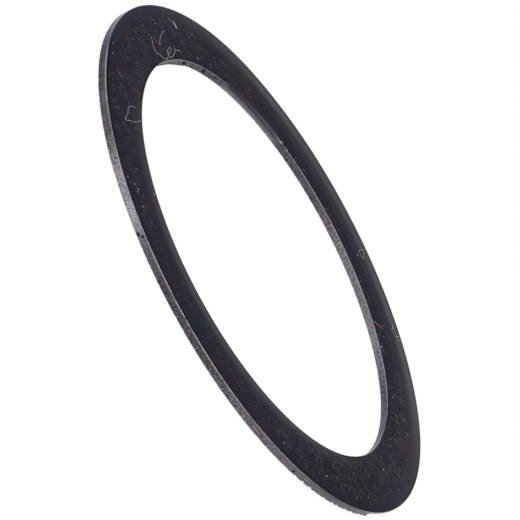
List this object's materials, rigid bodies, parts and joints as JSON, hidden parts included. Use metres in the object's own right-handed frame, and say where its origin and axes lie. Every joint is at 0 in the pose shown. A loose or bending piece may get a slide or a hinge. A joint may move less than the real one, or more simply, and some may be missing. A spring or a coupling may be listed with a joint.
{
  "type": "thrust washer",
  "caption": "Thin flat steel ring with a wide bore, blackened, with sheared edges that roll over on the upper side.",
  "frame": {"origin": "centre of the underside, where the ring lies on its burr side", "axes": "+Z along the ring's axis, out of the side with the rolled-over edges; +X is a free choice"},
  "size_m": [0.0719, 0.0718, 0.0012],
  "materials": {
    "black_oxide_steel": "black oxide, lightly oiled, sheared edges worn to dark grey"
  },
  "bodies": {
    "root": {"washer": "black_oxide_steel"}
  },
  "joints": []
}
